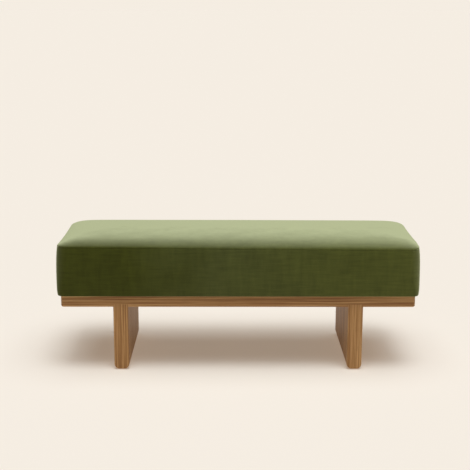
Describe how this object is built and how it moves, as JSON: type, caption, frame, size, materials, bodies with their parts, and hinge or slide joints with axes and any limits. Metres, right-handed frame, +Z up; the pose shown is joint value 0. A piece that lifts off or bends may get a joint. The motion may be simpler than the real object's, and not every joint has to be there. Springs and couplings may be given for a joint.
{
  "type": "upholstered bench",
  "caption": "Long box-cushion bench seat in olive velvet with a crowned top and seamed border, on a mitred oak frame and oak slab legs.",
  "frame": {"origin": "on the floor, under the middle of the bench", "axes": "+X along the bench to its right as seen from the front, +Y to the back, +Z up"},
  "size_m": [1.279, 0.447, 0.4694],
  "materials": {
    "oak": "oiled solid oak with open grain",
    "beech": "planed, unfinished hardwood",
    "plywood": "sanded birch plywood",
    "zinc_steel": "bright zinc plate",
    "nylon": "moulded brown nylon",
    "velvet": "short olive green pile with a light sheen at low angles",
    "wadding": "bonded white polyester fibre",
    "foam": "cream cut polyurethane foam",
    "cambric": "thin black non-woven cloth"
  },
  "bodies": {
    "root": {"front_rail": "oak", "back_rail": "oak", "left_end_rail": "oak", "right_end_rail": "oak", "left_leg": "oak", "right_leg": "oak", "left_leg_bearer": "beech", "right_leg_bearer": "beech", "centre_cross_rail": "beech", "frame_dowels": "beech", "leg_dowels": "beech", "corner_block_front_left": "beech", "corner_block_front_right": "beech", "corner_block_back_left": "beech", "corner_block_back_right": "beech", "mitre_spline_front_left": "beech", "mitre_spline_front_right": "beech", "mitre_spline_back_left": "beech", "mitre_spline_back_right": "beech", "seat_deck": "plywood", "corner_block_screws": "zinc_steel", "leg_bolts": "zinc_steel", "leg_bolt_washers": "zinc_steel", "leg_inserts": "zinc_steel", "seat_bolts": "zinc_steel", "seat_bolt_washers": "zinc_steel", "deck_tee_nuts": "zinc_steel", "foot_glide_front_left": "nylon", "foot_glide_front_right": "nylon", "foot_glide_back_left": "nylon", "foot_glide_back_right": "nylon", "velvet_boxing": "velvet", "velvet_top_panel": "velvet", "wadding_wrap": "wadding", "foam_core": "foam", "dust_cover": "cambric"}
  },
  "joints": []
}
